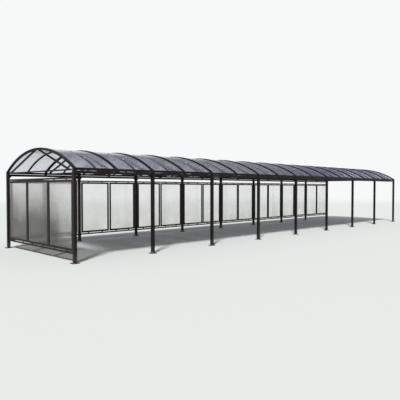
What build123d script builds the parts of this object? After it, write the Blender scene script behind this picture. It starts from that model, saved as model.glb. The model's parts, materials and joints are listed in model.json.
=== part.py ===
from build123d import *
from math import atan2, cos, sin, sqrt
import os

# Bike shelter with a barrel-vault roof: two rows of square posts carry double eaves, arched
# roof frames span from eave to eave, and framed frosted panels close the back and one end.
# The ground is Z = 0, X runs along the shelter and -Y is the open front. The origin is the
# middle of the footprint.

# Plan
bay_count = 8
bay_length = 2400  # post to post along the shelter
depth = 4000  # front post line to rear post line

# Posts
post_size = 80
base_plate_size = 180
base_plate_thickness = 10
anchor_spacing = 130
anchor_hole_radius = 8
gusset_leg = 65
gusset_nose = 8  # square tip of the gusset
gusset_thickness = 8

# Eaves: a beam between the posts, a slot, and a rail over the post heads
eave_height = 2300  # top of the rail
eave_rail_depth = 45
eave_slot = 10
eave_beam_depth = 65
eave_beam_inset = 10  # post face to the face of the eave beam
eave_packer_length = 60  # packer in the slot in the middle of each bay

# Roof frames
frames_per_bay = 2
arch_rise = 590  # eave top to the crown of the arch
arch_width = 50
arch_depth = 35
arch_foot_inset = 15  # outer face of the eave rail to the foot of the arch
tie_size = 35
brace_size = 40
brace_foot_inset = 275  # post line to the foot of the brace
brace_head_offset = 140  # ridge line to the head of the brace

# Roof covering
sheet_thickness = 4
sheet_joint = 6  # open joint between neighbouring sheets, on the arches at the posts

# Wall panels
wall_rail_thickness = 30
wall_rail_depth = 45
bottom_rail_height = 220  # underside of the bottom rail
wall_head_gap = 90  # top rail to the eave beam above it
panel_head_gap = 12  # top of a panel to the rail above it
panel_foot_gap = 22  # bottom of a panel to the rail below it
panels_per_bay = 2
panels_per_end = 3
stile_width = 50
stile_thickness = 30
post_gap = 40  # post face to the first panel
rear_panel_gap = 40  # between the panels of a bay in the rear wall
end_panel_gap = 10  # between the panels of the end wall
stub_length = 40  # stubs that hold the panels off the rails
stub_thickness = 20
stub_share = 0.25  # panel's middle to each stub, as a share of its width
pane_thickness = 6

# Fits
seat_gap = 0.3

# Sizes that follow from the ones above
length = bay_count * bay_length
half_depth = depth / 2
frame_spacing = bay_length / frames_per_bay
eave_beam_width = post_size - 2 * eave_beam_inset
rail_underside = eave_height - eave_rail_depth
beam_top = rail_underside - eave_slot
beam_underside = beam_top - eave_beam_depth
top_rail_height = beam_underside - wall_head_gap  # top of the top rail
tie_top = rail_underside + tie_size
panel_bottom = bottom_rail_height + wall_rail_depth + panel_foot_gap
panel_top = top_rail_height - wall_rail_depth - panel_head_gap
panel_height = panel_top - panel_bottom
panel_middle = (panel_top + panel_bottom) / 2

# The outer face of each arch lies on one circle, through its two feet on the eave rails and its crown
half_span = half_depth + post_size / 2 - arch_foot_inset
arch_radius = (half_span**2 + arch_rise**2) / (2 * arch_rise)
vault_centre = eave_height + arch_rise - arch_radius  # height of the circle's centre
arch_inner_radius = arch_radius - arch_depth
sheet_radius = arch_radius + seat_gap + sheet_thickness

post_places = [n * bay_length - length / 2 for n in range(bay_count + 1)]
frame_places = [n * frame_spacing - length / 2 for n in range(bay_count * frames_per_bay + 1)]
bay_middles = [x + bay_length / 2 for x in post_places[:-1]]
sides = {"front": -half_depth, "rear": half_depth}

os.makedirs("parts", exist_ok=True)


def write(piece, name):
    piece.part.label = name
    export_step(piece.part, f"parts/{name}.step")


def vault_strip(outer_radius, strip_depth):
    """Draws the band between two circles about the vault's centre, cut level at the eaves."""
    inner_radius = outer_radius - strip_depth
    rise = eave_height - vault_centre
    outer_foot = sqrt(outer_radius**2 - rise**2)
    inner_foot = sqrt(inner_radius**2 - rise**2)
    crown = vault_centre + outer_radius
    with BuildLine() as outline:
        ThreePointArc((-outer_foot, eave_height), (0, crown), (outer_foot, eave_height))
        Line((outer_foot, eave_height), (inner_foot, eave_height))
        ThreePointArc((inner_foot, eave_height), (0, crown - strip_depth), (-inner_foot, eave_height))
        Line((-inner_foot, eave_height), (-outer_foot, eave_height))
    make_face(outline.edges())


# Posts: a tube on a base plate, with gussets under the eave beams that it meets
def make_post(name, x, y, drilled):
    foot = Plane((x, y, 0))
    with BuildPart() as post:
        with BuildSketch(foot):
            Rectangle(base_plate_size, base_plate_size)
            if drilled:
                with GridLocations(anchor_spacing, anchor_spacing, 2, 2):
                    Circle(anchor_hole_radius, mode=Mode.SUBTRACT)
        extrude(amount=base_plate_thickness)
        with BuildSketch(foot.offset(base_plate_thickness)):
            Rectangle(post_size, post_size)
        extrude(amount=rail_underside - base_plate_thickness)
        for side in (-1, 1):
            if abs(x + side * bay_length) > length / 2:
                continue  # no beam beyond the end posts
            corner = (x + side * post_size / 2, y, beam_underside)
            with BuildSketch(Plane(corner, x_dir=(side, 0, 0), z_dir=(0, -side, 0))):
                with BuildLine():
                    Polyline(
                        (0, 0),
                        (gusset_leg, 0),
                        (gusset_leg, -gusset_nose),
                        (gusset_nose, -gusset_leg),
                        (0, -gusset_leg),
                        close=True,
                    )
                make_face()
            extrude(amount=gusset_thickness / 2, both=True)
    write(post, name)


for side_name, y in sides.items():
    for number, x in enumerate(post_places, start=1):
        make_post(f"{side_name}_post_{number}", x, y, drilled=number in (1, len(post_places)))

# Eaves
beam_starts = [x + post_size / 2 for x in post_places[:-1]]
for side_name, y in sides.items():
    with BuildPart() as beam:
        with BuildSketch(*[Plane.YZ.offset(x) for x in beam_starts]):
            with Locations((y, beam_underside)):
                Rectangle(eave_beam_width, eave_beam_depth, align=(Align.CENTER, Align.MIN))
        extrude(amount=bay_length - post_size)
    write(beam, f"{side_name}_eave_beam")

    with BuildPart() as rail:
        with BuildSketch(Plane.XY.offset(rail_underside)):
            with Locations((0, y)):
                Rectangle(length + post_size, post_size)
        extrude(amount=eave_rail_depth)
    write(rail, f"{side_name}_eave_rail")

with BuildPart() as packers:
    with BuildSketch(Plane.XY.offset(beam_top)):
        with Locations(*[(x, y) for x in bay_middles for y in sides.values()]):
            Rectangle(eave_packer_length, eave_beam_width)
    extrude(amount=eave_slot)
write(packers, "eave_packers")

# Arched roof frames: a bent arch, a tie at eave level and two braces towards the crown
for number, x in enumerate(frame_places, start=1):
    with BuildPart() as arch:
        with BuildSketch(Plane.YZ.offset(x)):
            vault_strip(arch_radius, arch_depth)
        extrude(amount=arch_width / 2, both=True)
    write(arch, f"roof_arch_{number}")

with BuildPart() as ties:
    with BuildSketch(*[Plane.YZ.offset(x) for x in frame_places]):
        with Locations((0, rail_underside)):
            Rectangle(depth - post_size, tie_size, align=(Align.CENTER, Align.MIN))
    extrude(amount=tie_size / 2, both=True)
write(ties, "roof_ties")

brace_foot = half_depth - brace_foot_inset
brace_head_height = vault_centre + sqrt(arch_inner_radius**2 - brace_head_offset**2)
brace_slope = atan2(brace_head_height - tie_top, brace_foot - brace_head_offset)
half_foot = brace_size / 2 / sin(brace_slope)
overrun = (brace_head_offset * cos(brace_slope), brace_head_offset * sin(brace_slope))
with BuildPart() as braces:
    with BuildSketch(*[Plane.YZ.offset(x) for x in frame_places]):
        with BuildLine():
            Polyline(
                (brace_foot - half_foot, tie_top),
                (brace_foot + half_foot, tie_top),
                (brace_head_offset + half_foot - overrun[0], brace_head_height + overrun[1]),
                (brace_head_offset - half_foot - overrun[0], brace_head_height + overrun[1]),
                close=True,
            )
        make_face()
        with Locations((0, vault_centre)):
            Circle(arch_inner_radius - seat_gap, mode=Mode.INTERSECT)
        mirror(about=Plane.YZ)
    extrude(amount=brace_size / 2, both=True)
write(braces, "roof_braces")

# Roof covering: a curved sheet over each bay, laid on the arches
with BuildPart() as sheets:
    with BuildSketch(*[Plane.YZ.offset(x) for x in bay_middles]):
        vault_strip(sheet_radius, sheet_thickness)
    extrude(amount=(bay_length - sheet_joint) / 2, both=True)
write(sheets, "roof_sheets")


# Walls: rails between the posts, and framed panes held off the rails by short stubs
def panel_layout(clear_width, count, panel_gap):
    """Gives the width of one panel and the middle of each, across a clear width."""
    width = (clear_width - 2 * post_gap - (count - 1) * panel_gap) / count
    pitch = width + panel_gap
    return width, [(n - (count - 1) / 2) * pitch for n in range(count)]


def make_wall(name, planes, clear_width, count, panel_gap):
    width, middles = panel_layout(clear_width, count, panel_gap)
    with BuildPart() as rails:
        with BuildSketch(*planes):
            for underside in (bottom_rail_height, top_rail_height - wall_rail_depth):
                with Locations((0, underside)):
                    Rectangle(clear_width, wall_rail_depth, align=(Align.CENTER, Align.MIN))
        extrude(amount=wall_rail_thickness / 2, both=True)
    write(rails, f"{name}_rails")

    with BuildPart() as frames:
        with BuildSketch(*planes):
            with Locations(*[(x, panel_middle) for x in middles]):
                Rectangle(width, panel_height)
                Rectangle(width - 2 * stile_width, panel_height - 2 * stile_width, mode=Mode.SUBTRACT)
        extrude(amount=stile_thickness / 2, both=True)
        stub_shift = width * stub_share
        stub_places = [x + shift for x in middles for shift in (-stub_shift, stub_shift)]
        with BuildSketch(*planes):
            with Locations(*[(x, panel_bottom) for x in stub_places]):
                Rectangle(stub_length, panel_foot_gap, align=(Align.CENTER, Align.MAX))
            with Locations(*[(x, panel_top) for x in stub_places]):
                Rectangle(stub_length, panel_head_gap, align=(Align.CENTER, Align.MIN))
        extrude(amount=stub_thickness / 2, both=True)
    write(frames, f"{name}_panel_frames")

    with BuildPart() as panes:
        with BuildSketch(*planes):
            with Locations(*[(x, panel_middle) for x in middles]):
                Rectangle(
                    width - 2 * (stile_width + seat_gap),
                    panel_height - 2 * (stile_width + seat_gap),
                )
        extrude(amount=pane_thickness / 2, both=True)
    write(panes, f"{name}_panes")


rear_planes = [Plane((x, half_depth, 0), x_dir=(1, 0, 0), z_dir=(0, -1, 0)) for x in bay_middles]
end_plane = Plane((-length / 2, 0, 0), x_dir=(0, 1, 0), z_dir=(1, 0, 0))
make_wall("rear_wall", rear_planes, bay_length - post_size, panels_per_bay, rear_panel_gap)
make_wall("end_wall", [end_plane], depth - post_size, panels_per_end, end_panel_gap)
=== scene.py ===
import json
from math import radians

import bpy
import numpy as np
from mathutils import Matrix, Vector

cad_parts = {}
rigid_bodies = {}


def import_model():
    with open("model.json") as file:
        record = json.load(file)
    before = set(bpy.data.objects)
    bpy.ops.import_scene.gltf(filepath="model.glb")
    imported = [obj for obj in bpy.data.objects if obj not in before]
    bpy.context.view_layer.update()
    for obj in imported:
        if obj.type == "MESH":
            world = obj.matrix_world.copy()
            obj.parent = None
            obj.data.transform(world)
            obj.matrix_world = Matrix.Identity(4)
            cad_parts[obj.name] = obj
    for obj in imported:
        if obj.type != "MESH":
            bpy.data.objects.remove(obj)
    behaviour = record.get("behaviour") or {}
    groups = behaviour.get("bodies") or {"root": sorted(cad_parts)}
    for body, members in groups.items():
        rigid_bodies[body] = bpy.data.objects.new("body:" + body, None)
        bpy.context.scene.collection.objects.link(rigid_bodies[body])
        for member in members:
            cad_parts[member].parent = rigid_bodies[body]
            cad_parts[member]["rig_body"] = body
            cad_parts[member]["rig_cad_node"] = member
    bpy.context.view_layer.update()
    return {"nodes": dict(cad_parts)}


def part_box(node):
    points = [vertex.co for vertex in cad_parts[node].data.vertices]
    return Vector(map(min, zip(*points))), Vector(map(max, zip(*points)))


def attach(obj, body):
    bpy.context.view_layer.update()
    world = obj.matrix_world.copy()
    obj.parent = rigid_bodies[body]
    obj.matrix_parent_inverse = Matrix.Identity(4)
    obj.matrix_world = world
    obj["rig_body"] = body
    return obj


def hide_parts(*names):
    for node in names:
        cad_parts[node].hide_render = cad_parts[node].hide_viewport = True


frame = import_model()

scene = bpy.context.scene
print("frame loaded:", len(frame["nodes"]), "nodes")

# The camera stands where the photograph was taken from: eye height, off the walled front corner.
cameraLook = {
    "place": (-14.961, -11.659, 1.810),
    "tilt": 88.52,  # degrees from straight down
    "turn": -44.90,
    "lens": 39.76,
    "film": 36.0,
    "seesTo": 500,
}
camera = bpy.data.objects.new("camera", bpy.data.cameras.new("camera"))
camera.location = cameraLook["place"]
camera.rotation_euler = (radians(cameraLook["tilt"]), 0, radians(cameraLook["turn"]))
camera.data.lens = cameraLook["lens"]
camera.data.sensor_width = cameraLook["film"]
camera.data.clip_end = cameraLook["seesTo"]
scene.collection.objects.link(camera)
scene.camera = camera
scene.view_settings.view_transform = "Standard"


# Adds a shader node. A socket is given as another node's output to link or as a plain value.
def put(tree, kind, sockets=None, **settings):
    node = tree.nodes.new("ShaderNode" + kind)
    for name, value in settings.items():
        setattr(node, name, value)
    for name, value in (sockets or {}).items():
        if isinstance(value, bpy.types.NodeSocket):
            tree.links.new(value, node.inputs[name])
        else:
            node.inputs[name].default_value = value
    return node


# One sum on two values, each a number or another node's output.
def maths(tree, operation, first, second=0.0, clamp=False):
    return put(tree, "Math", {0: first, 1: second}, operation=operation, use_clamp=clamp).outputs[0]


# A straight line over a value: the start plus the slope times the value.
def lineOver(tree, value, start, slope, clamp=False):
    return maths(tree, "ADD", maths(tree, "MULTIPLY", value, slope), start, clamp)


# Cloudy noise from 0 to 1, its blobs about one over the scale wide.
def noise(tree, vector, scale, detail):
    sockets = {"Vector": vector, "Scale": scale, "Detail": detail}
    return put(tree, "TexNoise", sockets).outputs["Fac"]


# Blends two colours by a factor, each a value or another node's output.
def tint(tree, factor, first, second):
    node = put(tree, "Mix", {"Factor": factor}, data_type="RGBA")
    for label, value in (("A", first), ("B", second)):
        socket = [s for s in node.inputs if s.name == label and s.type == "RGBA"][0]
        if isinstance(value, bpy.types.NodeSocket):
            tree.links.new(value, socket)
        else:
            socket.default_value = (*value, 1)
    return [s for s in node.outputs if s.type == "RGBA"][0]


# A window of a value: 0 below the first edge, 1 above the second, smooth between.
def rampBetween(tree, value, low, high):
    return put(tree, "MapRange", {"Value": value, "From Min": low, "From Max": high},
               interpolation_type="SMOOTHSTEP").outputs["Result"]


# A shader node group with named sockets. Its own function fills it in.
def makeGroup(name, inputs, outputs, fill):
    group = bpy.data.node_groups.new(name, "ShaderNodeTree")
    for label, value in inputs.items():
        socket = group.interface.new_socket(label, in_out="INPUT", socket_type="NodeSocketFloat")
        socket.default_value = value
    for label, kind in outputs.items():
        group.interface.new_socket(label, in_out="OUTPUT", socket_type="NodeSocket" + kind)
    source, sink = group.nodes.new("NodeGroupInput"), group.nodes.new("NodeGroupOutput")
    fill(group, source.outputs, sink.inputs)
    return group


# Places a group in a material with its own values.
def place(tree, group, **values):
    node = tree.nodes.new("ShaderNodeGroup")
    node.node_tree = group
    for label, value in values.items():
        node.inputs[label].default_value = value
    return node.outputs


arrisLook = {
    "samples": 4,
    "bend": (0.02, 0.25),  # how far the normal leaves the flat face, where wear starts and is full
    "patchDetail": 4.0,
    "patchEdge": (0.45, 0.70),
}


# Rounded arrises: the normal is averaged over a small radius, and where it leaves the flat face
# by much, broken up by noise, the coat is rubbed.
def fillEdges(tree, given, result):
    where = put(tree, "TexCoord").outputs["Object"]
    soft = put(tree, "Bevel", {"Radius": given["radius"]}, samples=arrisLook["samples"]).outputs[0]
    flat = put(tree, "NewGeometry").outputs["Normal"]
    along = put(tree, "VectorMath", {0: soft, 1: flat}, operation="DOT_PRODUCT").outputs["Value"]
    corner = rampBetween(tree, maths(tree, "SUBTRACT", 1.0, along), *arrisLook["bend"])
    patches = noise(tree, where, given["patches"], arrisLook["patchDetail"])
    worn = maths(tree, "MULTIPLY", corner, rampBetween(tree, patches, *arrisLook["patchEdge"]))
    tree.links.new(maths(tree, "MULTIPLY", worn, given["amount"], clamp=True), result["rubbed"])
    tree.links.new(soft, result["rounded"])


dustLook = {
    "cloudDetail": 5.0,
    "cloudEdge": (0.3, 0.7),
    "speckScale": 160.0,
    "speckDetail": 2.0,
    "speckEdge": (0.25, 0.6),
    "flatness": (0.35, 0.95),  # the normal's Z, where dust starts to lie and lies fully
    "splashFall": 1.6,
}


# Dust lies on what faces up, and rain splashes it onto whatever is low, by the share of the reach
# that is left above the point, to a power; where the colour given for it is dark, as on the end
# wall's panes, this low part is painted shade. Clouds and specks break up the sum of both.
def fillDustAndShade(tree, given, result):
    where = put(tree, "TexCoord").outputs["Object"]
    height = put(tree, "SeparateXYZ", {0: where}).outputs["Z"]
    facing = put(tree, "SeparateXYZ", {0: put(tree, "NewGeometry").outputs["Normal"]}).outputs["Z"]
    cloud = noise(tree, where, given["clouds"], dustLook["cloudDetail"])
    speck = noise(tree, where, dustLook["speckScale"], dustLook["speckDetail"])
    flat = rampBetween(tree, facing, *dustLook["flatness"])
    lying = maths(tree, "MULTIPLY", flat, given["lying"])
    low = maths(tree, "SUBTRACT", 1.0, maths(tree, "DIVIDE", height, given["reach"]), clamp=True)
    splashed = maths(tree, "POWER", low, dustLook["splashFall"])
    amount = lineOver(tree, splashed, lying, given["splash"])
    plain = maths(tree, "SUBTRACT", 1.0, given["specks"])
    specked = rampBetween(tree, speck, *dustLook["speckEdge"])
    grains = lineOver(tree, specked, plain, given["specks"])
    patchy = maths(tree, "MULTIPLY", rampBetween(tree, cloud, *dustLook["cloudEdge"]), grains)
    tree.links.new(maths(tree, "MULTIPLY", amount, patchy, clamp=True), result["dustAndShade"])


coatLook = {"peelDetail": 1.0, "driftDetail": 3.0, "driftEdge": (0.3, 0.7)}


# Stoved powder coat: a fine orange peel, and a slow drift in how deep and glossy the coat is.
def fillCoat(tree, given, result):
    where = put(tree, "TexCoord").outputs["Object"]
    peel = noise(tree, where, given["peel"], coatLook["peelDetail"])
    drift = noise(tree, where, given["drift"], coatLook["driftDetail"])
    tree.links.new(peel, result["height"])
    tree.links.new(rampBetween(tree, drift, *coatLook["driftEdge"]), result["drift"])


streakLook = {
    "narrow": (21, 21, 0.7),  # noise scale across, across and down
    "narrowDetail": 3.0,
    "narrowShare": 0.55,
    "broad": (4.5, 4.5, 0.35),
    "broadDetail": 2.0,
    "broadShare": 0.45,
    "edge": (0.42, 0.66),
}


# Rain runs straight down, so its marks are noise drawn out along Z, narrow and broad together.
def fillStreaks(tree, given, result):
    where = put(tree, "TexCoord").outputs["Object"]
    narrow = put(tree, "Mapping", {"Vector": where, "Scale": streakLook["narrow"]}).outputs[0]
    broad = put(tree, "Mapping", {"Vector": where, "Scale": streakLook["broad"]}).outputs[0]
    fine = noise(tree, narrow, 1.0, streakLook["narrowDetail"])
    wide = noise(tree, broad, 1.0, streakLook["broadDetail"])
    broadly = maths(tree, "MULTIPLY", wide, streakLook["broadShare"])
    both = lineOver(tree, fine, broadly, streakLook["narrowShare"])
    mark = rampBetween(tree, both, *streakLook["edge"])
    tree.links.new(maths(tree, "MULTIPLY", mark, given["amount"]), result["streak"])


edgeGroup = makeGroup("roundedEdges", {"radius": 0.004, "patches": 22.0, "amount": 0.5},
                      {"rubbed": "Float", "rounded": "Vector"}, fillEdges)
dustAndShadeGroup = makeGroup("settledDustAndShade",
                      {"clouds": 6.0, "specks": 1.0, "lying": 0.4, "splash": 0.6, "reach": 0.35},
                      {"dustAndShade": "Float"}, fillDustAndShade)
coatGroup = makeGroup("powderCoat", {"peel": 900.0, "drift": 3.0},
                      {"height": "Float", "drift": "Float"}, fillCoat)
streakGroup = makeGroup("rainStreaks", {"amount": 0.3}, {"streak": "Float"}, fillStreaks)


# An empty material, with its node tree and its output node.
def newMaterial(name):
    material = bpy.data.materials.new(name)
    material.use_nodes = True
    tree = material.node_tree
    tree.nodes.clear()
    return material, tree, put(tree, "OutputMaterial")


# Charcoal powder coat over steel or aluminium, rubbed at the arrises and dusted where dust lies.
def paintedMetal(name, look):
    material, tree, out = newMaterial(name)
    edges = place(tree, edgeGroup, radius=look["corner"], amount=look["rubbed"])
    coat = place(tree, coatGroup, peel=look["peel"], drift=look["drift"])
    dustAndShade = place(tree, dustAndShadeGroup, lying=look["lying"], splash=look["splash"], reach=look["reach"])
    streak = place(tree, streakGroup, amount=look["streaks"])
    colour = tint(tree, coat["drift"], look["dark"], look["light"])
    colour = tint(tree, edges["rubbed"], colour, look["bare"])
    colour = tint(tree, streak["streak"], colour, look["washed"])
    colour = tint(tree, dustAndShade["dustAndShade"], colour, look["dustColour"])
    rough = lineOver(tree, coat["drift"], look["rough"], look["roughSpread"])
    rough = lineOver(tree, dustAndShade["dustAndShade"], rough, look["dustRough"], clamp=True)
    bump = put(tree, "Bump", {"Height": coat["height"], "Normal": edges["rounded"],
                              "Strength": look["bump"], "Distance": look["peelDepth"]}).outputs[0]
    shader = put(tree, "BsdfPrincipled", {"Base Color": colour, "Roughness": rough, "Normal": bump,
                                          "Specular IOR Level": look["shine"]})
    tree.links.new(shader.outputs[0], out.inputs["Surface"])
    return material


steelLook = {
    "dark": (0.0075, 0.0046, 0.0056),
    "light": (0.0120, 0.0080, 0.0095),
    "bare": (0.07, 0.066, 0.066),
    "washed": (0.018, 0.015, 0.016),
    "dustColour": (0.26, 0.24, 0.21),
    "shine": 0.16,
    "corner": 0.004,
    "rubbed": 0.35,
    "peel": 900.0,
    "drift": 3.0,
    "rough": 0.40,
    "roughSpread": 0.10,
    "dustRough": 0.35,
    "bump": 0.25,
    "peelDepth": 0.0004,
    "lying": 0.10,
    "splash": 0.0,
    "reach": 0.3,
    "streaks": 0.25,
}
steelCoat = paintedMetal("charcoalCoat", steelLook)
postCoat = paintedMetal("charcoalPostCoat", {
    **steelLook, "splash": 0.35, "reach": 0.35, "rubbed": 0.4,
})
roofCoat = paintedMetal("charcoalRoofCoat", {
    **steelLook, "shine": 0.08, "lying": 0.03, "streaks": 0.05,
})
capCoat = paintedMetal("charcoalCapCoat", {
    **steelLook, "corner": 0.0015, "rough": 0.34, "lying": 0.06,
})


# Rubber or moulded plastic: one dark colour, matt, with a faint grain and a little dust.
def mouldedBlack(name, look):
    material, tree, out = newMaterial(name)
    coat = place(tree, coatGroup, peel=look["grain"], drift=look["drift"])
    dustAndShade = place(tree, dustAndShadeGroup, lying=look["lying"], splash=look["splash"], reach=look["reach"])
    colour = tint(tree, coat["drift"], look["dark"], look["light"])
    colour = tint(tree, dustAndShade["dustAndShade"], colour, look["dustColour"])
    bump = put(tree, "Bump", {"Height": coat["height"], "Strength": look["bump"],
                              "Distance": look["grainDepth"]}).outputs[0]
    rough = lineOver(tree, coat["drift"], look["rough"], look["roughSpread"])
    shader = put(tree, "BsdfPrincipled", {"Base Color": colour, "Roughness": rough, "Normal": bump})
    tree.links.new(shader.outputs[0], out.inputs["Surface"])
    return material


rubberLook = {
    "dark": (0.012, 0.012, 0.012),
    "light": (0.02, 0.02, 0.02),
    "dustColour": (0.25, 0.24, 0.22),
    "rough": 0.6,
    "roughSpread": 0.12,
    "grain": 700.0,
    "grainDepth": 0.0003,
    "bump": 0.3,
    "drift": 8.0,
    "lying": 0.3,
    "splash": 0.3,
    "reach": 0.4,
}
rubberSeal = mouldedBlack("sealRubber", rubberLook)
plugPlastic = mouldedBlack("plugPlastic", {
    **rubberLook,
    "dark": (0.018, 0.018, 0.019),
    "light": (0.026, 0.026, 0.027),
    "rough": 0.42,
    "grain": 1200.0,
    "lying": 0.2,
})


# Bare fixings: zinc plate, spangled and dulled, with dirt settled in.
def platedSteel(name, look):
    material, tree, out = newMaterial(name)
    coat = place(tree, coatGroup, peel=look["spangle"], drift=look["drift"])
    dustAndShade = place(tree, dustAndShadeGroup, lying=look["lying"], splash=look["splash"], reach=look["reach"])
    colour = tint(tree, coat["drift"], look["dark"], look["light"])
    colour = tint(tree, dustAndShade["dustAndShade"], colour, look["dustColour"])
    dulled = maths(tree, "MULTIPLY", dustAndShade["dustAndShade"], look["dulled"])
    metal = maths(tree, "SUBTRACT", 1.0, dulled)
    rough = lineOver(tree, coat["drift"], look["rough"], look["roughSpread"])
    bump = put(tree, "Bump", {"Height": coat["height"], "Strength": look["bump"],
                              "Distance": look["spangleDepth"]}).outputs[0]
    shader = put(tree, "BsdfPrincipled", {"Base Color": colour, "Roughness": rough,
                                          "Metallic": metal, "Normal": bump})
    tree.links.new(shader.outputs[0], out.inputs["Surface"])
    return material


zincLook = {
    "dark": (0.42, 0.42, 0.41),
    "light": (0.60, 0.60, 0.58),
    "dustColour": (0.22, 0.19, 0.16),
    "dulled": 0.7,
    "rough": 0.35,
    "roughSpread": 0.2,
    "spangle": 300.0,
    "spangleDepth": 0.0003,
    "bump": 0.2,
    "drift": 40.0,
    "lying": 0.5,
    "splash": 0.6,
    "reach": 0.2,
}
zincPlate = platedSteel("zincPlate", zincLook)
darkScrew = platedSteel("blackenedScrew", {
    **zincLook,
    "dark": (0.05, 0.05, 0.05),
    "light": (0.12, 0.115, 0.11),
    "spangle": 500.0,
})


# Clear or frosted glazing. Lamps and bounced light pass straight through with the sheet's tint,
# so that what stands behind it is lit; everything else sees the sheet itself.
def glazing(name, look):
    material, tree, out = newMaterial(name)
    coat = place(tree, coatGroup, peel=look["grain"], drift=look["drift"])
    dustAndShade = place(tree, dustAndShadeGroup, clouds=look["clouds"], specks=0.0, lying=look["lying"],
                 splash=look["splash"], reach=look["reach"])
    streak = place(tree, streakGroup, amount=look["streaks"])
    colour = tint(tree, coat["drift"], look["tint"], look["tintTwo"])
    colour = tint(tree, streak["streak"], colour, look["streakTint"])
    # Dust darkens the colour from the foot up; on the end wall's panes this darkening is painted
    # shade.
    colour = tint(tree, dustAndShade["dustAndShade"], colour, look["dustAndShadeTint"])
    rough = lineOver(tree, streak["streak"], look["rough"], look["roughSpread"])
    rough = lineOver(tree, dustAndShade["dustAndShade"], rough, look["dustRough"], clamp=True)
    bump = put(tree, "Bump", {"Height": coat["height"], "Strength": look["bump"],
                              "Distance": look["grainDepth"]}).outputs[0]
    shader = put(tree, "BsdfPrincipled", {"Base Color": colour, "Roughness": rough, "Normal": bump,
                                          "Transmission Weight": 1.0, "IOR": look["index"]})
    through = put(tree, "BsdfTransparent", {"Color": (*look["shade"], 1)})
    path = put(tree, "LightPath").outputs
    straight = maths(tree, "MAXIMUM", path["Is Shadow Ray"], path["Is Diffuse Ray"])
    mix = put(tree, "MixShader", {0: straight, 1: shader.outputs[0], 2: through.outputs[0]})
    tree.links.new(mix.outputs[0], out.inputs["Surface"])
    return material


# The panes turn darker and warmer towards their foot: settled dust, and partly painted shade.
paneLook = {
    "tint": (0.775, 0.77, 0.765),
    "tintTwo": (0.83, 0.825, 0.825),
    "streakTint": (0.84, 0.835, 0.83),
    "dustAndShadeTint": (0.55, 0.51, 0.44),
    "shade": (0.55, 0.54, 0.53),
    "rough": 0.065,
    "roughSpread": 0.02,
    "dustRough": 0.03,
    "index": 1.49,
    "grain": 1500.0,
    "grainDepth": 0.0003,
    "drift": 1.4,
    "bump": 0.02,
    "streaks": 0.25,
    "lying": 0.0,
    "clouds": 1.5,
    "splash": 0.9,
    "reach": 1.6,
}
frostedPane = glazing("frostedPane", paneLook)
# The end wall's panes are painted darker from their foot up, thinning out towards their heads:
# painted shade of the shaded floor behind them.
paintedShadePane = glazing("paintedShadePane", {
    **paneLook,
    "tint": (0.82, 0.81, 0.805),
    "tintTwo": (0.88, 0.87, 0.865),
    "dustAndShadeTint": (0.13, 0.115, 0.10),
    "clouds": 0.15,
    "splash": 4.9,
    "reach": 2.6,
})
smokeSheet = glazing("smokeSheet", {
    "tint": (0.76, 0.77, 0.82),
    "tintTwo": (0.80, 0.81, 0.86),
    "streakTint": (0.70, 0.71, 0.75),
    "dustAndShadeTint": (0.60, 0.58, 0.54),
    "shade": (0.42, 0.42, 0.44),
    "rough": 0.115,
    "roughSpread": 0.03,
    "dustRough": 0.3,
    "index": 1.34,
    "grain": 3.0,
    "grainDepth": 0.0003,
    "drift": 1.8,
    "bump": 0.0,
    "streaks": 0.25,
    "clouds": 1.5,
    "lying": 0.04,
    "splash": 0.0,
    "reach": 0.3,
})
print("finishes made:", len(bpy.data.materials))

# The frame's own steel and panes keep their shapes and take these finishes.
nodeFinishes = {
    "_post_": postCoat,
    "_eave_": steelCoat,
    "eave_packers": steelCoat,
    "roof_": roofCoat,
    "wall_": steelCoat,
    "rear_wall_panes": frostedPane,
    "end_wall_panes": paintedShadePane,
    "roof_sheets": smokeSheet,
}
for name, node in frame["nodes"].items():
    finish = [material for part, material in nodeFinishes.items() if part in name][-1]
    node.data.materials.clear()
    node.data.materials.append(finish)


# Joins points, quads and end rings into one shape. Inside-out shapes are turned by the sign of
# their volume, the sum over their triangles of a . (b x c) / 6.
def shapeOf(points, quads, rings):
    fans = [np.stack([np.full(len(r) - 2, r[0]), r[1:-1], r[2:]], 1) for r in rings]
    triangles = np.concatenate([quads[:, [0, 1, 2]], quads[:, [0, 2, 3]], *fans])
    a, b, c = (points[triangles[:, k]] - points[0] for k in range(3))
    if (a * np.cross(b, c)).sum() < 0:
        quads, rings = quads[:, ::-1], [r[::-1] for r in rings]
    return {"points": points, "quads": quads, "rings": rings}


# A grid of points, rows along the path and columns round the profile. The profile is closed, and
# the path is closed too for a loop, or else ends in two flat rings.
def gridShape(grid, loop=False):
    rows, columns = grid.shape[:2]
    i = np.arange(rows if loop else rows - 1)[:, None]
    j = np.arange(columns)[None, :]
    here, after = i * columns, (i + 1) % rows * columns
    side = (j + 1) % columns
    quads = np.stack([here + j, here + side, after + side, after + j], -1).reshape(-1, 4)
    ends = [] if loop else [np.arange(columns)[::-1], np.arange(columns) + (rows - 1) * columns]
    return shapeOf(grid.reshape(-1, 3), quads, ends)


# Copies of one shape: each is turned by its own 3 x 3 matrix, then moved to its place.
def repeated(shape, places, turns=None):
    places = np.asarray(places, float)
    turns = np.broadcast_to(np.eye(3), (len(places), 3, 3)) if turns is None else np.asarray(turns)
    points = np.einsum("nij,pj->npi", turns, shape["points"]) + places[:, None]
    step = np.arange(len(places)) * len(shape["points"])
    quads = shape["quads"][None] + step[:, None, None]
    rings = [ring + s for s in step for ring in shape["rings"]]
    return {"points": points.reshape(-1, 3), "quads": quads.reshape(-1, 4), "rings": rings}


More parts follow.
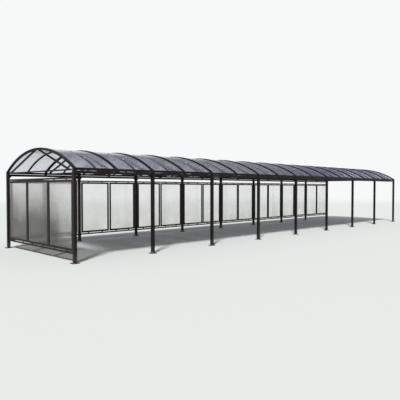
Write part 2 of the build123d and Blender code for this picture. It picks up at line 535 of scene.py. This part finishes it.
# Makes one object of several shapes, smooth but for the edges that turn by more than sharpAngle.
def makePiece(name, shapes, material, sharpAngle=35):
    points, faces, start = [], [], 0
    for shape in shapes:
        points.append(shape["points"])
        faces += (shape["quads"] + start).tolist()
        faces += [(ring + start).tolist() for ring in shape["rings"]]
        start += len(shape["points"])
    mesh = bpy.data.meshes.new(name)
    mesh.from_pydata(np.concatenate(points).tolist(), [], faces)
    mesh.polygons.foreach_set("use_smooth", np.ones(len(mesh.polygons), bool))
    mesh.set_sharp_from_angle(angle=radians(sharpAngle))
    mesh.materials.append(material)
    mesh.validate()
    piece = bpy.data.objects.new(name, mesh)
    scene.collection.objects.link(piece)
    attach(piece, "root")
    print(name, "made:", len(mesh.polygons), "faces")
    return piece


# A rectangle with rounded corners: each corner's centre plus radius times (cos a, sin a).
def roundedProfile(width, height, radius, steps=4):
    quarter = np.radians([0, 90, 180, 270])[:, None] + np.linspace(0, np.pi / 2, steps)[None]
    signs = np.array([(1, 1), (-1, 1), (-1, -1), (1, -1)])
    centres = signs * np.array([width / 2 - radius, height / 2 - radius])
    ring = centres[:, None] + radius * np.stack([np.cos(quarter), np.sin(quarter)], -1)
    return ring.reshape(-1, 2)


# A low dome on a flat base: (half width * cos a, height * sin a), each to the power given.
def domedProfile(width, height, power, steps=11):
    a = np.linspace(0, np.pi, steps)
    across = width / 2 * np.sign(np.cos(a)) * np.abs(np.cos(a)) ** power
    return np.stack([across, height * np.abs(np.sin(a)) ** power], -1)


# A turned shape from rows of (radius, height, 1 if hexagonal, else 0). A ring is (r cos a, r sin a,
# z), and a hexagonal one has its r divided by the cosine of a's distance from the nearest flat.
def turnedShape(outline, sides=12):
    radius, height, hexed = np.array(outline, float).T[:, :, None]
    a = np.arange(sides)[None] * 2 * np.pi / sides
    flat = (a + np.pi / 6) % (np.pi / 3) - np.pi / 6
    radius = radius * (1 + hexed * (1 / np.cos(flat) - 1))
    return gridShape(np.stack([radius * np.cos(a), radius * np.sin(a), height + 0 * a], -1))


# A profile given as (sideways, up) points, carried straight along an axis between two lengths.
def straightBar(profile, along, start, end):
    axis = {"x": 0, "y": 1}[along]
    grid = np.zeros((2, len(profile), 3))
    grid[:, :, axis] = np.array([start, end])[:, None]
    grid[:, :, 1 - axis] = profile[None, :, 0]
    grid[:, :, 2] = profile[None, :, 1]
    return gridShape(grid)


# The 3 x 3 matrix of a turn about one axis: the cosine on the diagonal, the sine and its opposite
# across it.
def turnedAbout(axis, degrees):
    c, s = np.cos(radians(degrees)), np.sin(radians(degrees))
    return np.array({
        "x": [(1, 0, 0), (0, c, -s), (0, s, c)],
        "y": [(c, 0, s), (0, 1, 0), (-s, 0, c)],
        "z": [(c, -s, 0), (s, c, 0), (0, 0, 1)],
    }[axis])


# Where a node's vertices stand along one axis, so many to a part, in rows.
def edgesOf(node, axis, perPart):
    mesh = frame["nodes"][node].data
    flat = np.empty(len(mesh.vertices) * 3)
    mesh.vertices.foreach_get("co", flat)
    return np.unique(flat.reshape(-1, 3)[:, axis].round(5)).reshape(-1, perPart)


# The vault, read off the first arch: the circle through its crown and both its feet.
archLow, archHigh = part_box("roof_arch_1")
eaveTop = archLow.z
archRise = archHigh.z - archLow.z
archRadius = (archHigh.y ** 2 + archRise ** 2) / (2 * archRise)
vaultCentre = archHigh.z - archRadius
archCount = sum(name.startswith("roof_arch_") for name in frame["nodes"])
archBoxes = [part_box(f"roof_arch_{n}") for n in range(1, archCount + 1)]
archPlaces = np.array([(low.x + high.x) / 2 for low, high in archBoxes])
archPitch = archPlaces[1] - archPlaces[0]
ribPlaces = (archPlaces[:-1] + archPlaces[1:]) / 2
footGap = 0.0003  # everything on the vault ends this far above the eave rails
hair = 0.0002  # small parts stand this far off a face or sink this far in, so that no faces meet


# A profile of (x, radius) points carried over the vault. At t from -1 to 1 a point of radius r
# stands at the angle t * acos((eave - centre) / r) from the crown, so every bar ends level.
def vaultBar(profile, steps):
    t = np.linspace(-1, 1, steps)[:, None]
    r = profile[None, :, 1]
    angle = t * np.arccos((eaveTop + footGap - vaultCentre) / r)
    return gridShape(np.stack([profile[None, :, 0] + 0 * angle, r * np.sin(angle),
                               vaultCentre + r * np.cos(angle)], -1))


# Places on the X axis, one at each x.
def atPlaces(xPlaces):
    return np.stack([xPlaces, 0 * xPlaces, 0 * xPlaces], -1)


# Places and turns for small parts on the vault: at each x and each angle from the crown, the
# part's own z stands square to the circle of that radius.
def vaultSpots(xPlaces, angles, radius):
    x, a = (v.ravel() for v in np.meshgrid(xPlaces, angles, indexing="ij"))
    places = np.stack([x, radius * np.sin(a), vaultCentre + radius * np.cos(a)], -1)
    turns = np.zeros((len(a), 3, 3))
    turns[:, 0, 0] = 1
    turns[:, 1, 1], turns[:, 1, 2] = np.cos(a), np.sin(a)
    turns[:, 2, 1], turns[:, 2, 2] = -np.sin(a), np.cos(a)
    return places, turns


# Roof sheets, one between each pair of arches, bent over the vault and butted under the caps.
sheetLook = {"thickness": 0.004, "corner": 0.0015, "lift": 0.0003, "joint": 0.006, "steps": 97}
sheetWidth = archPitch - sheetLook["joint"]
sheetProfile = roundedProfile(sheetWidth, sheetLook["thickness"], sheetLook["corner"], steps=2)
sheetProfile[:, 1] += archRadius + sheetLook["lift"] + sheetLook["thickness"] / 2
sheetShape = vaultBar(sheetProfile, sheetLook["steps"])
roofSheets = makePiece("roofSheets", [repeated(sheetShape, atPlaces(ribPlaces))],
                       smokeSheet)
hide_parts("roof_sheets")
sheetTop = archRadius + sheetLook["lift"] + sheetLook["thickness"]

# Pressed caps over every arch.
capLook = {"width": 0.060, "height": 0.022, "power": 0.35, "lift": 0.001, "steps": 97}
capProfile = domedProfile(capLook["width"], capLook["height"], capLook["power"])
capProfile[:, 1] += sheetTop + capLook["lift"]
capShape = vaultBar(capProfile, capLook["steps"])
makePiece("capStrips", [repeated(capShape, atPlaces(archPlaces))], capCoat)

# A rubber lip down each side of a cap, partly tucked under it.
lipLook = {"width": 0.006, "height": 0.0042, "power": 0.8, "outward": 0.0018, "steps": 65}
lipProfile = domedProfile(lipLook["width"], lipLook["height"], lipLook["power"], steps=6)
lipProfile[:, 1] += sheetTop + hair
lipShape = vaultBar(lipProfile, lipLook["steps"])
lipOffset = capLook["width"] / 2 + lipLook["outward"]
lipSides = [repeated(lipShape, atPlaces(archPlaces + side * lipOffset)) for side in (-1, 1)]
makePiece("capLips", lipSides, rubberSeal)

# A row of screws down the middle of each cap.
screwLook = {
    "pitch": 0.28,
    "outline": [(0.0075, 0, 0), (0.0075, 0.0012, 0), (0.0055, 0.0014, 0), (0.0052, 0.003, 0),
                (0.0038, 0.0042, 0), (0.0012, 0.0047, 0)],
}
screwShape = turnedShape(screwLook["outline"], sides=10)
capTop = sheetTop + capLook["lift"] + capLook["height"]
halfArc = np.arccos((eaveTop - vaultCentre) / capTop)
screwCount = int(2 * halfArc * capTop / screwLook["pitch"])
screwAngles = (np.arange(screwCount) - (screwCount - 1) / 2) * screwLook["pitch"] / capTop
screwSpots = vaultSpots(archPlaces, screwAngles, capTop - hair)
makePiece("capScrews", [repeated(screwShape, *screwSpots)], darkScrew)

# Curved ribs under the sheets midway between the arches.
ribLook = {"width": 0.052, "depth": 0.030, "corner": 0.004, "steps": 97}
ribProfile = roundedProfile(ribLook["width"], ribLook["depth"], ribLook["corner"])
ribProfile[:, 1] += archRadius - ribLook["depth"] / 2
ribShape = vaultBar(ribProfile, ribLook["steps"])
makePiece("roofRibs", [repeated(ribShape, atPlaces(ribPlaces))], roofCoat)

# Domed buttons on rubber washers, through the sheet into each rib, at even angles from the ridge.
buttonLook = {
    "pitch": 11.3,  # degrees
    "pairs": 2,
    "washer": [(0.026, 0, 0), (0.026, 0.0035, 0), (0.0245, 0.0045, 0), (0.018, 0.005, 0)],
    "dome": [(0.022, 0.0045, 0), (0.022, 0.0085, 0), (0.0205, 0.0125, 0), (0.017, 0.0165, 0),
             (0.0115, 0.0195, 0), (0.0045, 0.0208, 0)],
}
buttonSteps = np.arange(-buttonLook["pairs"], buttonLook["pairs"] + 1)
buttonSpots = vaultSpots(ribPlaces, np.radians(buttonSteps * buttonLook["pitch"]), sheetTop + hair)
washerShape = turnedShape(buttonLook["washer"], sides=20)
buttonShape = turnedShape(buttonLook["dome"], sides=20)
makePiece("ribWashers", [repeated(washerShape, *buttonSpots)], rubberSeal)
makePiece("ribButtons", [repeated(buttonShape, *buttonSpots)], zincPlate)

# Foot plates that hold the ribs down on the eave rails, each with two bolts.
footLook = {
    "length": 0.11,
    "width": 0.046,
    "thickness": 0.005,
    "corner": 0.0015,
    "inward": 0.012,  # from the middle of the eave rail
    "boltOffset": 0.042,
    "bolt": [(0.0085, 0, 0), (0.0085, 0.0015, 0), (0.0065, 0.0015, 1), (0.0065, 0.0062, 1),
             (0.0052, 0.007, 0)],
}
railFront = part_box("front_eave_rail")
railMiddle = (railFront[0].y + railFront[1].y) / 2
footProfile = roundedProfile(footLook["width"], footLook["thickness"], footLook["corner"], steps=3)
footShape = straightBar(footProfile, "x", -footLook["length"] / 2, footLook["length"] / 2)
footY = abs(railMiddle) - footLook["inward"]
footZ = eaveTop + footLook["thickness"] / 2 + hair
footPlaces = [(x, side * footY, footZ) for x in ribPlaces for side in (-1, 1)]
makePiece("ribFeet", [repeated(footShape, footPlaces)], roofCoat)
boltPlaces = [(x + shift, y, z + footLook["thickness"] / 2) for x, y, z in footPlaces
              for shift in (-footLook["boltOffset"], footLook["boltOffset"])]
makePiece("footBolts", [repeated(turnedShape(footLook["bolt"]), boltPlaces)], darkScrew)

# Edge trims: a small bar that closes the sheets' lower edge along each eave, between the caps.
trimLook = {"height": 0.020, "thickness": 0.003, "corner": 0.001, "outward": 0.0005}
trimGap = capLook["width"] / 2 + lipLook["width"]
sheetFoot = np.sqrt(sheetTop ** 2 - (eaveTop - vaultCentre) ** 2)
trimProfile = roundedProfile(trimLook["thickness"], trimLook["height"], trimLook["corner"], steps=2)
trimProfile[:, 0] += sheetFoot + trimLook["thickness"] / 2 + trimLook["outward"]
trimProfile[:, 1] += eaveTop + trimLook["height"] / 2 + footGap
trimShape = straightBar(trimProfile, "x", trimGap, archPitch - trimGap)
trimTurns = [turnedAbout("z", 180)] * len(ribPlaces)
makePiece("eaveTrims", [repeated(trimShape, atPlaces(archPlaces[:-1])),
                        repeated(trimShape, atPlaces(archPlaces[1:]), trimTurns)],
          capCoat)

# Anchors at every base plate: washer, nut and the threaded end of the stud.
anchorLook = {
    "spacing": 0.130,
    "turn": 17,  # degrees from one nut to the next, begun again after a hexagon's side
    "side": 60,
    "outline": [(0.0070, -0.009, 0), (0.0140, 0, 0), (0.0140, 0.0025, 0), (0.0110, 0.0025, 1),
                (0.0110, 0.0130, 1), (0.0098, 0.0138, 0), (0.0070, 0.0138, 0),
                (0.0070, 0.0155, 0), (0.0064, 0.0165, 0), (0.0070, 0.0175, 0),
                (0.0064, 0.0185, 0), (0.0070, 0.0195, 0), (0.0070, 0.0220, 0),
                (0.0055, 0.0235, 0)],
}
plateTop = 0.010
postGrid = 0.6  # the posts stand on this grid, though a gusset on one side shifts a post's box
postBoxes = [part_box(name) for name in frame["nodes"] if "_post_" in name]
postFeet = sorted((round((low.x + high.x) / 2 / postGrid) * postGrid, (low.y + high.y) / 2)
                  for low, high in postBoxes)
shifts = (-anchorLook["spacing"] / 2, anchorLook["spacing"] / 2)
anchorPlaces = [(x + a, y + b, plateTop) for x, y in postFeet for a in shifts for b in shifts]
anchorTurns = [turnedAbout("z", anchorLook["turn"] * n % anchorLook["side"])
               for n in range(len(anchorPlaces))]
anchorShape = turnedShape(anchorLook["outline"])
makePiece("anchorNuts", [repeated(anchorShape, anchorPlaces, anchorTurns)], zincPlate)


# Points evenly spaced round a closed outline, with the outward direction at each: the outline's
# corners are interpolated along its length, and the direction is its slope turned a quarter.
def roundTheOutline(corners, count):
    closed = np.concatenate([corners, corners[:1]])
    run = np.concatenate([[0], np.cumsum(np.linalg.norm(np.diff(closed, axis=0), axis=1))])
    s = np.arange(count) * run[-1] / count
    ring = np.stack([np.interp(s, run, closed[:, k]) for k in (0, 1)], -1)
    slope = np.roll(ring, -1, 0) - np.roll(ring, 1, 0)
    slope /= np.linalg.norm(slope, axis=1)[:, None]
    return ring, np.stack([slope[:, 1], -slope[:, 0]], -1), s


# Weld beads where the posts stand on their plates: a quarter-round profile carried round the post,
# whose size swells by a sine of the distance, one ripple every few millimetres.
weldLook = {
    "post": 0.080,
    "corner": 0.004,
    "size": 0.006,
    "ripple": 0.005,
    "swell": 0.12,
    "points": 160,
    "profile": [(-0.15, 0), (1.0, 0), (0.72, 0.35), (0.35, 0.72), (-0.15, 1.0)],  # out, up
}
weldOutline = roundedProfile(weldLook["post"], weldLook["post"], weldLook["corner"])
weldRing, weldOut, weldRun = roundTheOutline(weldOutline, weldLook["points"])
weldRipples = np.sin(weldRun * 2 * np.pi / weldLook["ripple"])
weldSize = weldLook["size"] * (1 + weldLook["swell"] * weldRipples)
weldProfile = np.array(weldLook["profile"])
weldAcross = weldSize[:, None] * weldProfile[None, :, 0]
weldHeight = plateTop + weldSize[:, None] * weldProfile[None, :, 1]
weldPlan = weldRing[:, None] + weldOut[:, None] * weldAcross[:, :, None]
weldShape = gridShape(np.concatenate([weldPlan, weldHeight[:, :, None]], -1), loop=True)
makePiece("footWelds", [repeated(weldShape, [(x, y, 0) for x, y in postFeet])],
          postCoat)

# Plugs in the open ends of the eave rails.
plugLook = {
    "gap": 0.002,
    "corner": 0.006,
    "proud": 0.003,
    "rings": [(0, 1), (0.6, 1), (1, 0.94)],  # share of the proud length, and of the profile
}
railWidth = railFront[1].y - railFront[0].y
railDepth = railFront[1].z - railFront[0].z
railHeight = (railFront[0].z + railFront[1].z) / 2
plugProfile = roundedProfile(railWidth - plugLook["gap"], railDepth - plugLook["gap"],
                             plugLook["corner"])
plugRings = np.array(plugLook["rings"])
plugGrid = np.zeros((len(plugRings), len(plugProfile), 3))
plugGrid[:, :, 0] = plugRings[:, :1] * plugLook["proud"]
plugGrid[:, :, 1:] = plugRings[:, 1:, None] * plugProfile[None]
plugPlaces = [(end * railFront[1].x, side * abs(railMiddle), railHeight)
              for end in (-1, 1) for side in (-1, 1)]
plugTurns = [turnedAbout("z", 0 if x > 0 else 180) for x, y, z in plugPlaces]
makePiece("railPlugs", [repeated(gridShape(plugGrid), plugPlaces, plugTurns)], plugPlastic)

# Glazing seals: a half-round rubber bead carried round each pane, on both its faces. Each pane
# faces along its wall's normal; the seal is drawn in the pane's own plane and turned to it.
sealLook = {"width": 0.009, "proud": 0.005, "power": 0.7, "corner": 0.006, "play": 0.0006}
paneLow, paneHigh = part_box("rear_wall_panes")
paneHeight = paneHigh.z - paneLow.z
paneMiddle = (paneHigh.z + paneLow.z) / 2
paneThickness = paneHigh.y - paneLow.y
rearPanes = edgesOf("rear_wall_panes", 0, 2)
endPanes = edgesOf("end_wall_panes", 1, 2)


# One seal round a pane, with its play in the frame added. The inward direction at each corner is
# the sum of its two edges' directions, made one long and turned a quarter.
def sealShape(paneWidth):
    width, height = paneWidth + sealLook["play"], paneHeight + sealLook["play"]
    outline = roundedProfile(width, height, sealLook["corner"], steps=3)
    ahead, behind = np.roll(outline, -1, 0) - outline, outline - np.roll(outline, 1, 0)
    slope = ahead / np.linalg.norm(ahead, axis=1)[:, None]
    slope = slope + behind / np.linalg.norm(behind, axis=1)[:, None]
    slope /= np.linalg.norm(slope, axis=1)[:, None]
    inward = np.stack([-slope[:, 1], slope[:, 0]], -1)
    bead = domedProfile(sealLook["width"], sealLook["proud"], sealLook["power"], steps=6)
    bead[:, 0] += sealLook["width"] / 2
    flat = outline[:, None] + inward[:, None] * bead[None, :, :1]
    out = np.broadcast_to(paneThickness / 2 + bead[None, :, 1], flat.shape[:2])
    return gridShape(np.stack([flat[:, :, 0], -out, flat[:, :, 1]], -1), loop=True)


rearSeal = sealShape(rearPanes[0, 1] - rearPanes[0, 0])
endSeal = sealShape(endPanes[0, 1] - endPanes[0, 0])
wallY = (paneLow.y + paneHigh.y) / 2
endWallX = sum(corner.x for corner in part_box("end_wall_panes")) / 2
rearSpots = [(x, wallY, paneMiddle) for x in rearPanes.mean(1)]
endSpots = [(endWallX, y, paneMiddle) for y in endPanes.mean(1)]
sealSides = [(rearSeal, rearSpots, 0), (rearSeal, rearSpots, 180),
             (endSeal, endSpots, 90), (endSeal, endSpots, -90)]
makePiece("paneSeals", [repeated(seal, spots, [turnedAbout("z", turn)] * len(spots))
                        for seal, spots, turn in sealSides], rubberSeal)

# Fixings through the wall rails at each stub, with a domed head on both faces.
headLook = {
    "outline": [(0.0085, 0, 0), (0.0085, 0.001, 0), (0.0078, 0.003, 0), (0.0058, 0.0046, 0),
                (0.0025, 0.0055, 0)],
}
headShape = turnedShape(headLook["outline"])
railLow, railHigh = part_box("rear_wall_rails")
rearRailZ = edgesOf("rear_wall_rails", 2, 2).mean(1)


# The middles of the stubs along a wall. A panel frame has 8 edges that way: two of its own at
# each end, and between them those of its two stubs.
def stubMiddles(node, axis):
    return edgesOf(node, axis, 8)[:, 2:6].reshape(-1, 2).mean(1)


headShapes = []
for side in (-1, 1):
    out = side * ((railHigh.y - railLow.y) / 2 - hair)
    rearPlaces = [(x, wallY + out, z) for x in stubMiddles("rear_wall_panel_frames", 0)
                  for z in rearRailZ]
    endPlaces = [(endWallX + out, y, z) for y in stubMiddles("end_wall_panel_frames", 1)
                 for z in rearRailZ]
    rearTurns = [turnedAbout("x", -90 * side)] * len(rearPlaces)
    endTurns = [turnedAbout("y", 90 * side)] * len(endPlaces)
    headShapes.append(repeated(headShape, rearPlaces, rearTurns))
    headShapes.append(repeated(headShape, endPlaces, endTurns))
makePiece("stubFixings", headShapes, darkScrew)

# Angle cleats that carry the wall rails on the posts, drawn in the corner of post and rail.
cleatLook = {"leg": 0.034, "thickness": 0.004, "width": 0.024}
leg, thin = cleatLook["leg"], cleatLook["thickness"]
cleatProfile = np.array([(0, 0), (leg, 0), (leg, -thin), (thin, -thin), (thin, -leg), (0, -leg)])
cleatShape = straightBar(cleatProfile, "y", -cleatLook["width"] / 2, cleatLook["width"] / 2)
cleatPlaces, cleatTurns = [], []
for z in edgesOf("rear_wall_rails", 2, 2)[:, 0] - hair:
    for low, high in edgesOf("rear_wall_rails", 0, 2):
        cleatPlaces += [(low + hair, wallY, z), (high - hair, wallY, z)]
        cleatTurns += [turnedAbout("z", 0), turnedAbout("z", 180)]
    for low, high in edgesOf("end_wall_rails", 1, 2):
        cleatPlaces += [(endWallX, low + hair, z), (endWallX, high - hair, z)]
        cleatTurns += [turnedAbout("z", 90), turnedAbout("z", -90)]
makePiece("railCleats", [repeated(cleatShape, cleatPlaces, cleatTurns)],
          steelCoat)
pieces = [o for o in scene.objects if o.get("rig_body") and not o.get("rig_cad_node")]
print("pieces on the frame:", len(pieces))

# The studio: a wide pale floor whose edge fades into the background, one soft key light from the
# walled end, and an even surround.
studioLook = {
    "floorRadius": 160.0,
    "floorHub": 0.001,  # where the rings start, and the power that spreads them outwards
    "floorSpread": 1.5,
    "floorRings": 24,
    "floorSides": 96,
    "floorColour": (0.79, 0.82, 0.80),
    "fade": (26.0, 70.0),  # distances between which the floor fades into the background
    "background": (0.93, 0.945, 0.95),
    "overhead": (0.365, 0.370, 0.450),
    "overheadFar": (0.215, 0.224, 0.350),
    "farSides": (0.80, 0.885),  # |x| of the direction looked in
    "lean": 0.65,
    "dusk": (0.60, 0.76),  # z + lean * |x|, pale below and dim above
    "surround": 0.27,
    "keyFrom": (-0.72, -0.50, 0.95),
    "keyStrength": 3.2,
    "keySoftness": 9.0,
}
shares = np.linspace(studioLook["floorHub"], 1, studioLook["floorRings"])[:, None]
rings = studioLook["floorRadius"] * shares ** studioLook["floorSpread"]
around = np.linspace(0, 2 * np.pi, studioLook["floorSides"], endpoint=False)
floorGrid = np.stack([rings * np.cos(around), rings * np.sin(around), 0 * rings * around], -1)
floorShape = gridShape(floorGrid)
floorFaces = [*floorShape["quads"].tolist(), floorShape["rings"][0].tolist()]
floorMesh = bpy.data.meshes.new("studioFloor")
floorMesh.from_pydata(floorShape["points"].tolist(), [], floorFaces)
floor = bpy.data.objects.new("studioFloor", floorMesh)
scene.collection.objects.link(floor)
floorMaterial, tree, out = newMaterial("studioFloor")
floorMesh.materials.append(floorMaterial)
where = put(tree, "TexCoord").outputs["Object"]
distance = put(tree, "VectorMath", {0: where}, operation="LENGTH").outputs["Value"]
fade = rampBetween(tree, distance, *studioLook["fade"])
matt = put(tree, "BsdfDiffuse", {"Color": (*studioLook["floorColour"], 1)})
glow = put(tree, "Emission", {"Color": (*studioLook["background"], 1)})
mix = put(tree, "MixShader", {0: fade, 1: matt.outputs[0], 2: glow.outputs[0]})
tree.links.new(mix.outputs[0], out.inputs["Surface"])

# The surround lights with one value and shows another: pale at the horizon, dim and cool overhead,
# and dimmer still far to the sides. The edge between pale and dim is at z + lean * |x| of the
# direction looked in, so it sinks to both ends.
world = bpy.data.worlds.new("studio")
scene.world = world
world.use_nodes = True
tree = world.node_tree
tree.nodes.clear()
out = put(tree, "OutputWorld")
toward = put(tree, "SeparateXYZ", {0: put(tree, "TexCoord").outputs["Generated"]}).outputs
aside = maths(tree, "ABSOLUTE", toward["X"])
height = lineOver(tree, aside, toward["Z"], studioLook["lean"])
dusk = rampBetween(tree, height, *studioLook["dusk"])
path = put(tree, "LightPath").outputs
sideways = rampBetween(tree, aside, *studioLook["farSides"])
dim = tint(tree, sideways, studioLook["overhead"], studioLook["overheadFar"])
shown = tint(tree, dusk, studioLook["background"], dim)
shown = tint(tree, path["Is Camera Ray"], shown, studioLook["background"])
seen = put(tree, "Background", {"Color": shown, "Strength": 1.0})
lit = put(tree, "Background", {"Color": (1, 1, 1, 1), "Strength": studioLook["surround"]})
looked = maths(tree, "MAXIMUM", path["Is Camera Ray"],
               maths(tree, "MAXIMUM", path["Is Glossy Ray"], path["Is Transmission Ray"]))
mix = put(tree, "MixShader", {0: looked, 1: lit.outputs[0], 2: seen.outputs[0]})
tree.links.new(mix.outputs[0], out.inputs["Surface"])

key = bpy.data.objects.new("keyLight", bpy.data.lights.new("keyLight", "SUN"))
key.data.energy = studioLook["keyStrength"]
key.data.angle = radians(studioLook["keySoftness"])
key.rotation_euler = Vector(studioLook["keyFrom"]).to_track_quat("Z", "Y").to_euler()
scene.collection.objects.link(key)
print("studio set")
